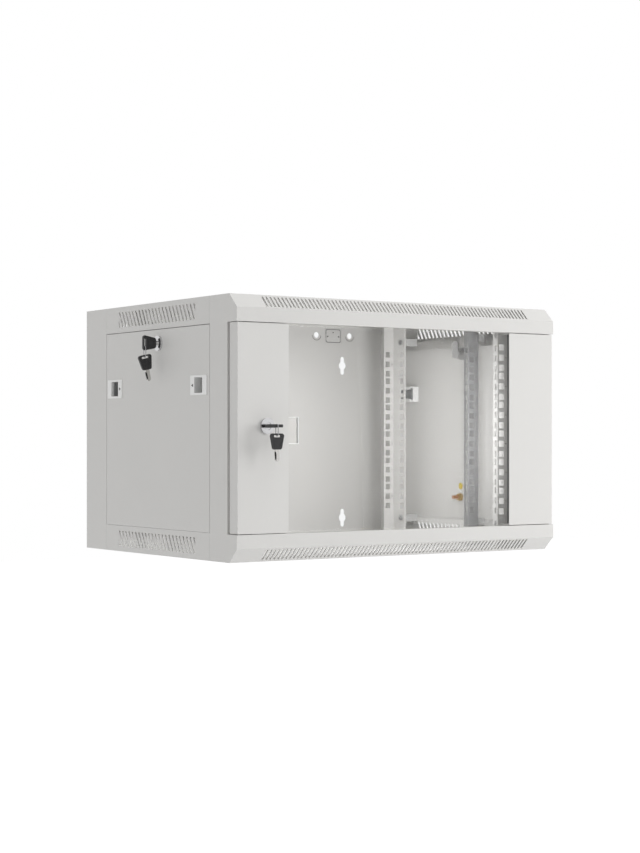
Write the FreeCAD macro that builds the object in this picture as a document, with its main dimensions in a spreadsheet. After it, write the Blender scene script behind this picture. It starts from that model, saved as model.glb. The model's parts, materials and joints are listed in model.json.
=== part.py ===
import FreeCAD, Part
import math
import os
import Sketcher

# Wall mount network cabinet, 6 rack units high, for 19-inch equipment. Millimetres.
# The origin is the centre of the face that meets the wall: X to the right, -Y to the front, Z up.

os.makedirs("parts", exist_ok=True)
doc = FreeCAD.newDocument("wall_cabinet")

DRIVING_SIZES = {
    # case
    "cabinet_width": 570, "cabinet_depth": 450, "cabinet_height": 370,
    "frame_sheet": 1.5, "beam_height": 39, "beam_depth": 72, "beam_chamfer": 19.5,
    "rear_depth": 67, "seam": 0.3, "ledge_width": 15, "lip_reach": 11.5, "flange_width": 14,
    # vents
    "vent_pitch": 6.5, "vent_count": 73, "vent_slot": 3.2, "vent_border": 2,
    "louvre_pitch": 10.2, "louvre_count": 22, "louvre_slot": 4.4, "louvre_height": 23,
    "louvre_lean": 27,
    # cable entries in roof and floor
    "entry_width": 220, "entry_depth": 60, "entry_setback": 30, "cover_overlap": 10,
    # wall fixings
    "keyhole_inset": 83, "keyhole_foot": 35, "keyhole_drop": 74, "keyhole_head": 14.5,
    "keyhole_slot": 8, "keyhole_height": 31, "bolt_hole": 10, "bolt_drop": 22.5,
    "bolt_inset": 68, "bolt_spacing": 68.5, "knockout_width": 36, "knockout_height": 25,
    "knockout_groove": 0.5,
    # posts and rack rails
    "post_setback": 25, "post_front": 35, "rack_hole_inset": 7.55, "rack_unit": 44.45,
    "rack_units": 6, "rack_hole": 9.5, "unit_hole_step": 15.875, "rail_sheet": 2,
    "rail_side_room": 39, "rail_flange": 21, "rail_web": 34, "rail_web_hole": 25,
    "rail_tab": 14, "front_rail_setback": 61, "middle_rail_setback": 134,
    "rear_rail_setback": 358, "bracket_height": 12, "bracket_sheet": 2, "bracket_depth": 24,
    "bracket_drop": 38, "bracket_setback": 10, "screw_shank": 5, "screw_length": 8, "screw_head": 9,
    "screw_head_height": 2.4,
    # door
    "door_inset": 2, "door_gap": 1, "door_depth": 21, "door_sheet": 1.2, "door_setback": 1,
    "left_band": 83, "right_band": 85, "glass_thickness": 4, "glass_overlap": 12,
    "glass_rim": 2, "tape_thickness": 0.9, "glass_notch_reach": 17,
    "glass_notch_height": 36, "glass_notch_drop": 6,
    "hinge_inset": 8, "hinge_setback": 11, "hinge_pin": 6, "bush_wall": 2, "bush_length": 6,
    "collar_rim": 1.5, "collar_height": 0.7, "running_fit": 0.05, "pin_head": 10,
    "pin_head_height": 2,
    # side panels
    "panel_sheet": 1.2, "panel_gap": 0.9, "panel_rest": 0.3, "panel_return": 12,
    # slide latches
    "latch_drop": 124, "latch_setback": 29.5, "bezel_length": 45, "bezel_height": 28,
    "bezel_flange": 1.5, "bezel_wall": 1.8, "finger_window": 22, "slider_height": 20,
    "slider_length": 29, "slider_sheet": 3, "nose_width": 14, "nose_reach": 5,
    "latch_fit": 0.3, "guide_wall": 2.5, "guide_hook": 1.5, "finger_tab": 2,
    "finger_tab_recess": 2.5,
    # cam locks
    "lock_ring": 22, "lock_ring_height": 3, "lock_barrel": 16, "lock_plug": 11,
    "lock_nut": 20, "lock_nut_height": 4, "cam_width": 14, "cam_sheet": 2.2, "cam_reach": 20,
    "cam_clearance": 0.5, "door_lock_in": 49, "door_lock_height": 3,
    "panel_lock_drop": 60, "panel_lock_setback": 218, "plug_recess": 0.5,
    # keys and the wire links that join them in pairs
    "key_head": 22, "key_thickness": 2.5, "key_neck": 2, "key_blade": 7,
    "key_blade_sheet": 2, "key_insert": 14, "key_slot": 12, "key_slot_height": 3,
    "key_rim": 2.2, "key_corner": 4, "key_tip": 2.5, "key_fit": 0.1,
    "link_wire": 1.2, "link_radius": 3, "link_straight": 10.1, "link_sag": 0.4,
    "key_hang": 1.3,
    # earth stud
    "stud_diameter": 6, "stud_length": 16, "stud_nut": 10, "stud_nut_height": 5,
    "stud_foot": 75, "stud_setback": 226, "washer_diameter": 12.5, "washer_height": 1.2,
}


class Size:
    """A length that knows its number and the formula that gives it from the sheet."""

    def __init__(self, number, formula):
        self.number = number
        self.formula = formula

    def __add__(self, other):
        other = as_size(other)
        return Size(self.number + other.number, f"({self.formula} + {other.formula})")

    def __sub__(self, other):
        other = as_size(other)
        return Size(self.number - other.number, f"({self.formula} - {other.formula})")

    def __rsub__(self, other):
        return as_size(other) - self

    def __mul__(self, factor):
        factor = as_size(factor)
        return Size(self.number * factor.number, f"({self.formula} * {factor.formula})")

    def __truediv__(self, divisor):
        return Size(self.number / divisor, f"({self.formula} / {divisor})")

    def __neg__(self):
        return Size(-self.number, f"(0 - {self.formula})")

    __radd__ = __add__
    __rmul__ = __mul__


def as_size(value):
    return value if isinstance(value, Size) else Size(float(value), f"({float(value):.6f})")


def write_sheet():
    """Put every driving size in the spreadsheet and give each back as a Size."""
    sheet = doc.addObject("Spreadsheet::Sheet", "Sizes")
    sizes = {}
    for row, (alias, number) in enumerate(DRIVING_SIZES.items(), start=1):
        sheet.set(f"A{row}", alias)
        sheet.set(f"B{row}", str(number))
        sheet.setAlias(f"B{row}", alias)
        sizes[alias] = Size(float(number), f"Sizes.{alias}")
    doc.recompute()
    return sizes


s = write_sheet()
KEPT = []      # the objects that become nodes


def bind(thing, prop, size):
    thing.setExpression(prop, as_size(size).formula)


def keep(thing, label):
    thing.Label = label
    KEPT.append(thing)
    return thing


# ---- sketches and features of a PartDesign body ----

def new_body(label):
    return keep(doc.addObject("PartDesign::Body", label), label)


def new_sketch(body, plane, offset):
    """A sketch on one of the body's own planes, moved along the plane's normal.

    XY has its normal on +Z, XZ on -Y (its axes are X and Z) and YZ on +X (axes Y and Z).
    """
    sketch = body.newObject("Sketcher::SketchObject", f"{body.Name}_sketch")
    support = next(f for f in body.Origin.OriginFeatures if f.Role == f"{plane}_Plane")
    sketch.AttachmentSupport = (support, [""])
    sketch.MapMode = "FlatFace"
    bind(sketch, "AttachmentOffset.Base.z", offset)
    return sketch


def pin_point(sketch, edge, end, across, up):
    """Hold a point of the sketch at its distances from the sketch's origin."""
    for kind, size in (("DistanceX", across), ("DistanceY", up)):
        size = as_size(size)
        index = sketch.addConstraint(
            Sketcher.Constraint(kind, -1, 1, edge, end, size.number))
        sketch.setExpression(f"Constraints[{index}]", size.formula)


def draw_outline(sketch, points):
    """A closed outline of straight lines, each corner held by its two sizes."""
    flat = [FreeCAD.Vector(as_size(u).number, as_size(v).number, 0) for u, v in points]
    first = sketch.GeometryCount
    for i, start in enumerate(flat):
        sketch.addGeometry(Part.LineSegment(start, flat[(i + 1) % len(flat)]), False)
    for i in range(len(flat)):
        follower = first + (i + 1) % len(flat)
        sketch.addConstraint(Sketcher.Constraint("Coincident", first + i, 2, follower, 1))
    for i, (u, v) in enumerate(points):
        pin_point(sketch, first + i, 1, u, v)


def draw_circle(sketch, centre, diameter):
    """A circle held by its centre and its diameter."""
    u, v = (as_size(value) for value in centre)
    diameter = as_size(diameter)
    circle = Part.Circle(FreeCAD.Vector(u.number, v.number, 0), FreeCAD.Vector(0, 0, 1),
                         diameter.number / 2)
    edge = sketch.addGeometry(circle, False)
    pin_point(sketch, edge, 3, u, v)
    index = sketch.addConstraint(Sketcher.Constraint("Diameter", edge, diameter.number))
    sketch.setExpression(f"Constraints[{index}]", diameter.formula)


def rectangle(u0, u1, v0, v1):
    return [(u0, v0), (u1, v0), (u1, v1), (u0, v1)]


def add_feature(body, kind, sketch, length, reverse):
    feature = body.newObject(f"PartDesign::{kind}", f"{body.Name}_{kind.lower()}")
    feature.Profile = sketch
    feature.Reversed = reverse
    bind(feature, "Length", length)
    return feature


def pad(body, plane, offset, outlines, length, reverse=False, circles=()):
    """Add sheet or bar: the outlines, drawn at the offset, pushed out along the normal."""
    sketch = new_sketch(body, plane, offset)
    for points in outlines:
        draw_outline(sketch, points)
    for centre, diameter in circles:
        draw_circle(sketch, centre, diameter)
    return add_feature(body, "Pad", sketch, length, reverse)


def pocket(body, plane, offset, outlines, length, reverse=False, circles=()):
    """Cut the outlines and circles back from the offset, against the normal."""
    sketch = new_sketch(body, plane, offset)
    for points in outlines:
        draw_outline(sketch, points)
    for centre, diameter in circles:
        draw_circle(sketch, centre, diameter)
    return add_feature(body, "Pocket", sketch, length, reverse)


def repeat(body, feature, axis, pitch, count):
    """Repeat a feature along one of the body's own axes."""
    pattern = body.newObject("PartDesign::LinearPattern", f"{body.Name}_row")
    pattern.Originals = [feature]
    line = next(f for f in body.Origin.OriginFeatures if f.Role == f"{axis}_Axis")
    pattern.Direction = (line, [""])
    bind(pattern, "Length", pitch * (count - 1))
    bind(pattern, "Occurrences", count)
    body.Tip = pattern
    return pattern


def mirrored(source, label, normal=(1, 0, 0)):
    """The same piece made the other way round, for the opposite side."""
    twin = doc.addObject("Part::Mirroring", label)
    twin.Source = source
    twin.Normal = FreeCAD.Vector(*normal)
    return keep(twin, label)


# ---- sizes that several pieces share ----

SHEET_CORNER = math.sqrt(2) - 1          # how far a 45 degree bend moves a corner, per sheet
half_width = s["cabinet_width"] / 2
half_height = s["cabinet_height"] / 2
front = -s["cabinet_depth"]
beam_foot = half_height - s["beam_height"]          # height of the seam under the top beam
beam_back = front + s["beam_depth"]
inner_half = half_width - s["frame_sheet"]
panel_front = beam_back
panel_back = -s["rear_depth"]
lip_outer = half_width - s["ledge_width"]
lip_inner = lip_outer - s["frame_sheet"]
lip_end = beam_foot - s["lip_reach"]
post_face = front + s["post_setback"]
rail_outer = half_width - s["rail_side_room"]
rail_inner = rail_outer - s["rail_flange"]
rack_line = rail_inner + s["rack_hole_inset"]      # 465.1 mm between the two columns of holes
bracket_level = half_height - s["bracket_drop"]
latch_level = half_height - s["latch_drop"]
panel_lock_level = half_height - s["panel_lock_drop"]
hinge_x = half_width - s["hinge_inset"]
hinge_y = front + s["hinge_setback"]
door_top = beam_foot - s["door_gap"]


def front_beam(label, up):
    """Folded beam across the front with a slotted 45 degree bevel; up is 1 or -1."""
    body = new_body(label)
    sheet, bevel = s["frame_sheet"], s["beam_chamfer"]
    corner = sheet * SHEET_CORNER
    outside = [(front, up * beam_foot), (front, up * (half_height - bevel)),
               (front + bevel, up * half_height), (beam_back, up * half_height),
               (beam_back, up * beam_foot)]
    pad(body, "YZ", -half_width, [outside], s["cabinet_width"])
    inside = [(front + sheet, up * (beam_foot - sheet)),
              (front + sheet, up * (half_height - bevel - corner)),
              (front + bevel + corner, up * (half_height - sheet)),
              (beam_back + sheet, up * (half_height - sheet)),
              (beam_back + sheet, up * (beam_foot - sheet))]
    pocket(body, "YZ", inner_half, [inside], inner_half * 2)
    fold, back = s["flange_width"], inner_half - s["post_front"]
    flange = [(-inner_half, front + sheet), (inner_half, front + sheet),
              (inner_half, beam_back), (back, beam_back), (back, front + fold),
              (-back, front + fold), (-back, beam_back), (-inner_half, beam_back)]
    pad(body, "XY", up * beam_foot, [flange], sheet, reverse=up < 0)
    pocket(body, "XY", up * (beam_foot + sheet * 2), [], sheet * 3, reverse=up < 0,
           circles=[((hinge_x, hinge_y), s["hinge_pin"])])
    border = s["vent_border"]
    first = -s["vent_pitch"] * (s["vent_count"] - 1) / 2
    slot = rectangle(first - s["vent_slot"] / 2, first + s["vent_slot"] / 2,
                     front + border, front + bevel - border)
    cut = pocket(body, "XY", up * (half_height + sheet), [slot], bevel + sheet * 3,
                 reverse=up < 0)
    repeat(body, cut, "X", s["vent_pitch"], s["vent_count"])
    return body


def front_post():
    """Folded post behind the door's edge, between the two beams."""
    body = new_body("front_post_right")
    sheet, fold = s["frame_sheet"], s["flange_width"]
    section = [(half_width, post_face), (half_width, beam_back),
               (half_width - fold, beam_back), (half_width - fold, beam_back - sheet),
               (inner_half, beam_back - sheet), (inner_half, post_face + sheet),
               (half_width - s["post_front"], post_face + sheet),
               (half_width - s["post_front"], post_face)]
    pad(body, "XY", -beam_foot, [section], beam_foot * 2)
    mirrored(body, "front_post_left")
    return body


def deck(label, up):
    """Roof or floor: a plate with side bands, louvres and a ledge for the side panels."""
    body = new_body(label)
    sheet = s["frame_sheet"]
    start = s["rear_depth"] + s["seam"]
    length = s["cabinet_depth"] - s["beam_depth"] - s["rear_depth"] - s["seam"] * 2
    lip_tip = lip_end if up > 0 else beam_foot + s["lip_reach"]
    if up > 0:
        lip = [(lip_outer, beam_foot), (lip_outer, lip_tip), (lip_inner, lip_tip),
               (lip_inner, beam_foot + sheet)]
    else:
        lip = [(lip_inner, beam_foot), (lip_inner, lip_tip), (lip_outer, lip_tip),
               (lip_outer, beam_foot + sheet)]
    one_side = [(half_width, beam_foot)] + lip
    one_side += [(inner_half, beam_foot + sheet), (inner_half, half_height - sheet)]
    section = [(x, up * z) for x, z in one_side]
    section += [(-x, up * z) for x, z in reversed(one_side)]
    section += [(-half_width, up * half_height), (half_width, up * half_height)]
    pad(body, "XZ", start, [section], length)
    entry = rectangle(-s["entry_width"] / 2, s["entry_width"] / 2,
                      -(s["rear_depth"] + s["entry_setback"] + s["entry_depth"]),
                      -(s["rear_depth"] + s["entry_setback"]))
    pocket(body, "XY", up * (half_height + sheet), [entry], sheet * 3, reverse=up < 0)
    cut_louvres(body, up)
    return body


def cut_louvres(body, up):
    """Leaning slots through both side bands, with a clipped one at each end of the row."""
    lean = math.tan(math.radians(DRIVING_SIZES["louvre_lean"]))
    half_slot, half_rise = s["louvre_slot"] / 2, s["louvre_height"] / 2
    middle_y = (panel_front + panel_back) / 2
    middle_z = up * (half_height + beam_foot) / 2
    first = middle_y - s["louvre_pitch"] * (s["louvre_count"] - 1) / 2
    run = half_rise * lean
    slot = [(first - half_slot - run, middle_z - half_rise),
            (first + half_slot - run, middle_z - half_rise),
            (first + half_slot + run, middle_z + half_rise),
            (first - half_slot + run, middle_z + half_rise)]
    edge = first - half_slot - run
    missing = first - s["louvre_pitch"]
    high = (edge - missing + half_slot) / lean
    low = (edge - missing - half_slot) / lean
    clipped = [(edge, middle_z + low), (missing + half_slot + run, middle_z + half_rise),
               (missing - half_slot + run, middle_z + half_rise), (edge, middle_z + high)]
    other = [(middle_y * 2 - y, middle_z * 2 - z) for y, z in clipped]
    through = s["cabinet_width"] + s["frame_sheet"] * 2
    pocket(body, "YZ", half_width + s["frame_sheet"], [clipped, other], through)
    cut = pocket(body, "YZ", half_width + s["frame_sheet"], [slot], through)
    repeat(body, cut, "Y", s["louvre_pitch"], s["louvre_count"])


def entry_cover(label, up):
    """Loose plate that closes a cable entry from inside."""
    body = new_body(label)
    overlap = s["cover_overlap"]
    back = s["rear_depth"] + s["entry_setback"]
    plate = rectangle(-s["entry_width"] / 2 - overlap, s["entry_width"] / 2 + overlap,
                      -(back + s["entry_depth"] + overlap), -(back - overlap))
    pad(body, "XY", up * (half_height - s["frame_sheet"]), [plate], s["panel_sheet"],
        reverse=up > 0)
    return body


def rear_panel():
    """Tray-shaped back that wraps round the sides, with the wall fixing holes."""
    body = new_body("rear_panel")
    sheet = s["frame_sheet"]
    pad(body, "XZ", 0, [rectangle(-half_width, half_width, -half_height, half_height)],
        s["rear_depth"])
    inside = rectangle(-inner_half, inner_half, -(half_height - sheet), half_height - sheet)
    pocket(body, "XZ", s["rear_depth"] + sheet, [inside], s["rear_depth"])
    fold = half_width - s["flange_width"]
    flanges = [rectangle(fold, inner_half, -beam_foot, beam_foot),
               rectangle(-inner_half, -fold, -beam_foot, beam_foot)]
    pad(body, "XZ", s["rear_depth"] - sheet, flanges, sheet)
    bolt_level = half_height - s["bolt_drop"]
    bolts, heads, slots, slot_ends, grooves = [], [], [], [], []
    for side in (-1, 1):
        x = side * (half_width - s["keyhole_inset"])
        for z in (s["keyhole_foot"] - half_height, half_height - s["keyhole_drop"]):
            half_slot = s["keyhole_slot"] / 2
            half_run = s["keyhole_height"] / 2 - half_slot
            heads.append(((x, z), s["keyhole_head"]))
            slots.append(rectangle(x - half_slot, x + half_slot, z - half_run, z + half_run))
            slot_ends += [((x, z - half_run), s["keyhole_slot"]),
                          ((x, z + half_run), s["keyhole_slot"])]
        outer = side * (half_width - s["bolt_inset"])
        inner = outer - side * s["bolt_spacing"]
        bolts += [((inner, bolt_level), s["bolt_hole"]), ((outer, bolt_level), s["bolt_hole"])]
        middle = (inner + outer) / 2
        grooves.append(rectangle(middle - s["knockout_width"] / 2,
                                 middle + s["knockout_width"] / 2,
                                 bolt_level - s["knockout_height"] / 2,
                                 bolt_level + s["knockout_height"] / 2))
    pocket(body, "XZ", sheet * 2, [], sheet * 3, circles=heads + bolts)
    pocket(body, "XZ", sheet * 2, slots, sheet * 3)
    pocket(body, "XZ", sheet * 2, [], sheet * 3, circles=slot_ends)
    pocket(body, "XZ", sheet, grooves, s["knockout_groove"])
    return body


def rack_rail(label, setback, web_forward):
    """Angle with square holes at rack pitch in both legs; the web may run either way."""
    body = new_body(f"{label}_rail_right")
    sheet = s["rail_sheet"]
    face = front + setback
    way = -1 if web_forward else 1
    back = face + sheet
    web_root = back if web_forward else face
    web_tip = web_root + s["rail_web"] * way
    far = face if web_forward else back
    section = [(rail_inner, web_root), (rail_outer, web_root), (rail_outer, web_tip),
               (rail_outer - sheet, web_tip), (rail_outer - sheet, far), (rail_inner, far)]
    half_rail = half_height - s["frame_sheet"]
    pad(body, "XY", -half_rail, [section], half_rail * 2)
    tab = rectangle(rail_outer, rail_outer + s["rail_tab"], web_root, web_tip)
    pad(body, "XY", -half_rail, [tab], sheet)
    pad(body, "XY", half_rail, [tab], sheet, reverse=True)
    half_hole = s["rack_hole"] / 2
    units = s["rack_units"]
    lowest = -(units * s["rack_unit"]) / 2 + (s["rack_unit"] - 2 * s["unit_hole_step"]) / 2
    column = web_root + s["rail_web_hole"] * way
    fixing = web_tip - s["bracket_setback"] * way
    fixings = [((fixing, side * bracket_level), s["screw_shank"]) for side in (-1, 1)]
    pocket(body, "YZ", rail_outer + sheet, [], sheet * 4, circles=fixings)
    for step in range(3):
        z = lowest + s["unit_hole_step"] * step
        low, high = z - half_hole, z + half_hole
        in_flange = pocket(body, "XZ", -(face - sheet),
                           [rectangle(rack_line - half_hole, rack_line + half_hole, low, high)],
                           sheet * 3)
        repeat(body, in_flange, "Z", s["rack_unit"], units)
        in_web = pocket(body, "YZ", rail_outer + sheet,
                        [rectangle(column - half_hole, column + half_hole, low, high)],
                        sheet * 4)
        repeat(body, in_web, "Z", s["rack_unit"], units)
    mirrored(body, f"{label}_rail_left")
    return fixing


# ---- simple solids, for turned parts and plates ----

TURNS = {"X": FreeCAD.Rotation(FreeCAD.Vector(0, 1, 0), 90),
         "Y": FreeCAD.Rotation(FreeCAD.Vector(1, 0, 0), -90),
         "Z": FreeCAD.Rotation()}


def put(thing, x, y, z, rotation=None):
    """Place a solid by three sizes, after turning it about its own origin."""
    if rotation is not None:
        thing.Placement = FreeCAD.Placement(FreeCAD.Vector(), rotation)
    for axis, size in zip("xyz", (x, y, z)):
        bind(thing, f"Placement.Base.{axis}", size)
    return thing


def cylinder(name, axis, at, diameter, length):
    """A round bar that starts at a point and runs along +axis."""
    bar = doc.addObject("Part::Cylinder", name)
    bind(bar, "Radius", diameter / 2)
    bind(bar, "Height", length)
    return put(bar, *at, rotation=TURNS[axis])


def hexagon(name, axis, at, flats, length):
    bar = doc.addObject("Part::Prism", name)
    bar.Polygon = 6
    bind(bar, "Circumradius", flats / math.sqrt(3))
    bind(bar, "Height", length)
    return put(bar, *at, rotation=TURNS[axis])


def cut(base, tool, name):
    result = doc.addObject("Part::Cut", name)
    result.Base = base
    result.Tool = tool
    return result


def fuse(shapes, name):
    result = doc.addObject("Part::MultiFuse", name)
    result.Shapes = shapes
    return result


def group(solids, label):
    """Identical pieces that share one node as separate solids."""
    compound = doc.addObject("Part::Compound", label)
    compound.Links = solids
    return keep(compound, label)


# ---- rack rail fixings ----

def rail_bracket(name, y, side, level):
    """U-shaped bracket between a rail's web and the lip of the roof or floor."""
    sheet, depth = s["bracket_sheet"], s["bracket_depth"]
    inner, outer = rail_outer, lip_inner
    body = doc.addObject("PartDesign::Body", name)
    start, end = y - depth / 2, y + depth / 2
    section = [(side * inner, start), (side * outer, start), (side * outer, end),
               (side * (outer - sheet), end), (side * (outer - sheet), start + sheet),
               (side * (inner + sheet), start + sheet), (side * (inner + sheet), end),
               (side * inner, end)]
    pad(body, "XY", level - s["bracket_height"] / 2, [section], s["bracket_height"])
    pocket(body, "YZ", side * (inner + sheet * 2), [], sheet * 3, reverse=side < 0,
           circles=[((y, level), s["screw_shank"])])
    return body


def rail_screw(name, y, side, level):
    """Pan-head screw through a rail's web into its bracket."""
    head_face = rail_outer - s["rail_sheet"]
    head_length, shank_length = s["screw_head_height"], s["screw_length"]
    if side > 0:
        head_at, shank_at = head_face - head_length, head_face
    else:
        head_at, shank_at = -head_face, -head_face - shank_length
    head = cylinder(f"{name}_head", "X", (head_at, y, level), s["screw_head"], head_length)
    shank = cylinder(f"{name}_shank", "X", (shank_at, y, level), s["screw_shank"],
                     shank_length)
    return fuse([head, shank], name)


def rail_fixings(fixings):
    brackets = {"left": [], "right": []}
    screws = []
    for row, y in fixings.items():
        for side_name, side in (("left", -1), ("right", 1)):
            for end_name, end in (("top", 1), ("bottom", -1)):
                tag = f"{row}_{side_name}_{end_name}"
                level = end * bracket_level
                brackets[side_name].append(rail_bracket(f"bracket_{tag}", y, side, level))
                screws.append(rail_screw(f"screw_{tag}", y, side, level))
    for side_name, solids in brackets.items():
        group(solids, f"rail_brackets_{side_name}")
    group(screws, "rail_screws")


# ---- door ----

door_face = front + s["door_setback"]
door_half = half_width - s["door_inset"]
glass_front = door_face + s["door_sheet"] + s["tape_thickness"]
left_edge = s["left_band"] - door_half          # inner edge of the left band
right_edge = door_half - s["right_band"]        # inner edge of the right band
bush_outer = s["hinge_pin"] + s["running_fit"] * 2 + s["bush_wall"] * 2


def door_band(label, side, edge):
    """Folded steel band down one side of the door; edge is where the glass shows."""
    body = new_body(label)
    sheet = s["door_sheet"]
    outer = side * door_half
    skin = outer - side * sheet
    back = door_face + s["door_depth"]
    section = [(outer, door_face), (edge, door_face), (edge, door_face + sheet),
               (skin, door_face + sheet), (skin, back), (outer, back)]
    pad(body, "XY", -door_top, [section], door_top * 2)
    end = [(edge, door_face + sheet), (skin, door_face + sheet), (skin, back), (edge, back)]
    pad(body, "XY", -door_top, [end], sheet)
    pad(body, "XY", door_top, [end], sheet, reverse=True)
    return body


def door_bands():
    left = door_band("door_left_band", -1, left_edge)
    lock = (s["door_lock_in"] - half_width, s["door_lock_height"])
    pocket(left, "XZ", s["door_sheet"] - door_face, [], s["door_sheet"] * 3,
           circles=[(lock, s["lock_barrel"])])
    right = door_band("door_right_band", 1, right_edge)
    pocket(right, "XY", door_top + s["door_sheet"], [],
           door_top * 2 + s["door_sheet"] * 2, circles=[((hinge_x, hinge_y), bush_outer)])


def door_glass():
    """Safety glass behind both bands, notched beside the lock."""
    body = new_body("door_glass")
    left, right = left_edge - s["glass_overlap"], right_edge + s["glass_overlap"]
    top = door_top - s["glass_rim"]
    notch_x = left_edge + s["glass_notch_reach"]
    notch_middle = s["door_lock_height"] - s["glass_notch_drop"]
    notch_low = notch_middle - s["glass_notch_height"] / 2
    notch_high = notch_middle + s["glass_notch_height"] / 2
    outline = [(left, -top), (right, -top), (right, top), (left, top), (left, notch_high),
               (notch_x, notch_high), (notch_x, notch_low), (left, notch_low)]
    pad(body, "XZ", -(glass_front + s["glass_thickness"]), [outline], s["glass_thickness"])
    tapes = []
    for name, x in (("left_tape", left_edge - s["glass_overlap"]), ("right_tape", right_edge)):
        tape = doc.addObject("Part::Box", name)
        bind(tape, "Length", s["glass_overlap"])
        bind(tape, "Width", s["tape_thickness"])
        bind(tape, "Height", top * 2)
        tapes.append(put(tape, x, glass_front - s["tape_thickness"], -top))
    group(tapes, "glass_tapes")


def door_hinges():
    """Pins held in the beams' flanges and plastic bushes carried by the door."""
    pins, bushes = [], []
    bore = s["hinge_pin"] + s["running_fit"] * 2
    inside = door_top - s["door_sheet"] - s["bush_length"]
    flange_top = beam_foot + s["frame_sheet"]
    for name, up in (("top", 1), ("bottom", -1)):
        low, high = inside, flange_top + s["pin_head_height"]
        shank_start = low if up > 0 else -high
        head_start = flange_top if up > 0 else -high
        shank = cylinder(f"pin_shank_{name}", "Z", (hinge_x, hinge_y, shank_start),
                         s["hinge_pin"], high - low)
        head = cylinder(f"pin_head_{name}", "Z", (hinge_x, hinge_y, head_start),
                        s["pin_head"], s["pin_head_height"])
        pins.append(fuse([shank, head], f"hinge_pin_{name}"))
        collar_top = door_top + s["collar_height"]
        sleeve_start = low if up > 0 else -collar_top
        collar_start = door_top if up > 0 else -collar_top
        sleeve = cylinder(f"bush_sleeve_{name}", "Z", (hinge_x, hinge_y, sleeve_start),
                          bush_outer, collar_top - low)
        collar = cylinder(f"bush_collar_{name}", "Z", (hinge_x, hinge_y, collar_start),
                          bush_outer + s["collar_rim"] * 2, s["collar_height"])
        hole = cylinder(f"bush_bore_{name}", "Z", (hinge_x, hinge_y, sleeve_start - 1),
                        bore, collar_top - low + 2)
        bushes.append(cut(fuse([sleeve, collar], f"bush_blank_{name}"), hole,
                          f"hinge_bush_{name}"))
    group(pins, "hinge_pins")
    group(bushes, "hinge_bushes")


# ---- cam locks and keys, drawn with the lock's axis on Z and its face at zero ----

OUT_FRONT = FreeCAD.Rotation(FreeCAD.Vector(1, 0, 0), 90)                    # Z to -Y
CAM_TO_LEFT = FreeCAD.Rotation(FreeCAD.Vector(0, 1, 0), -90) * OUT_FRONT     # and Y to -X
OUT_LEFT = FreeCAD.Rotation(FreeCAD.Vector(0, 0, 1), -90) * OUT_FRONT        # Z to -X
OUT_RIGHT = FreeCAD.Rotation(FreeCAD.Vector(0, 0, 1), 90) * OUT_FRONT        # Z to +X
HANGING = FreeCAD.Rotation(FreeCAD.Vector(0, 0, 1), -90)                     # Y to +X
RING_UPRIGHT = FreeCAD.Rotation(0.5, 0.5, 0.5, 0.5)                          # Z to +X
SPARE_LEAN = FreeCAD.Rotation(FreeCAD.Vector(0, 1, 0), -12)


def lock_barrel(label, depth):
    """Chromed barrel with a raised ring; depth is how far it reaches inside."""
    body = new_body(label)
    bore = s["lock_plug"] + s["running_fit"] * 2
    centre = (0, 0)
    pad(body, "XY", -depth, [], depth, circles=[(centre, s["lock_barrel"])])
    pad(body, "XY", 0, [], s["lock_ring_height"], circles=[(centre, s["lock_ring"])])
    pocket(body, "XY", s["lock_ring_height"] + 1, [], depth + s["lock_ring_height"] + 2,
           circles=[(centre, bore)])
    return body


def lock_nut(label, sheet):
    nut = hexagon(f"{label}_blank", "Z", (0, 0, -(sheet + s["lock_nut_height"])),
                  s["lock_nut"], s["lock_nut_height"])
    hole = cylinder(f"{label}_hole", "Z", (0, 0, -(sheet + s["lock_nut_height"]) - 1),
                    s["lock_barrel"], s["lock_nut_height"] + 2)
    return keep(cut(nut, hole, label), label)


def lock_plug(label, depth):
    """Turning plug with a keyway, and the cam plate on its inner end."""
    body = new_body(label)
    face = s["lock_ring_height"] - s["plug_recess"]
    pad(body, "XY", -depth, [], depth + face, circles=[((0, 0), s["lock_plug"])])
    half = s["cam_width"] / 2
    chamfer = s["cam_width"] / 4
    cam = [(-half, -half), (half, -half), (half, s["cam_reach"] - chamfer),
           (half - chamfer, s["cam_reach"]), (chamfer - half, s["cam_reach"]),
           (-half, s["cam_reach"] - chamfer)]
    pad(body, "XY", -depth, [cam], s["cam_sheet"], reverse=True)
    wide = s["key_blade_sheet"] / 2 + s["key_fit"]
    tall = s["key_blade"] / 2 + s["key_fit"]
    pocket(body, "XY", face + 1, [rectangle(-wide, wide, -tall, tall)],
           s["key_insert"] + s["key_fit"] + 1)
    return body


def key(label, zero):
    """Flat key with a moulded head; zero is the height on the key of its own origin."""
    body = new_body(label)
    half, corner = s["key_head"] / 2, s["key_corner"]
    neck = s["lock_ring_height"] + s["key_neck"] - zero
    shoulder, end = neck + corner, neck + s["key_head"]
    blade_tip = s["lock_ring_height"] - s["plug_recess"] - s["key_insert"] - zero
    width = s["key_blade"] / 2
    head = [(-width, neck), (width, neck), (half, shoulder), (half, end), (-half, end),
            (-half, shoulder)]
    thick = s["key_thickness"]
    pad(body, "YZ", -thick / 2, [head], thick)
    top = end - s["key_rim"]
    slot = rectangle(-s["key_slot"] / 2, s["key_slot"] / 2, top - s["key_slot_height"], top)
    pocket(body, "YZ", thick, [slot], thick * 2)
    tip = s["key_tip"]
    blade = [(-width, neck + corner), (-width, blade_tip + tip), (tip - width, blade_tip),
             (width - tip, blade_tip), (width, blade_tip + tip), (width, neck + corner)]
    pad(body, "YZ", -s["key_blade_sheet"] / 2, [blade], s["key_blade_sheet"])
    return body


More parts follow.
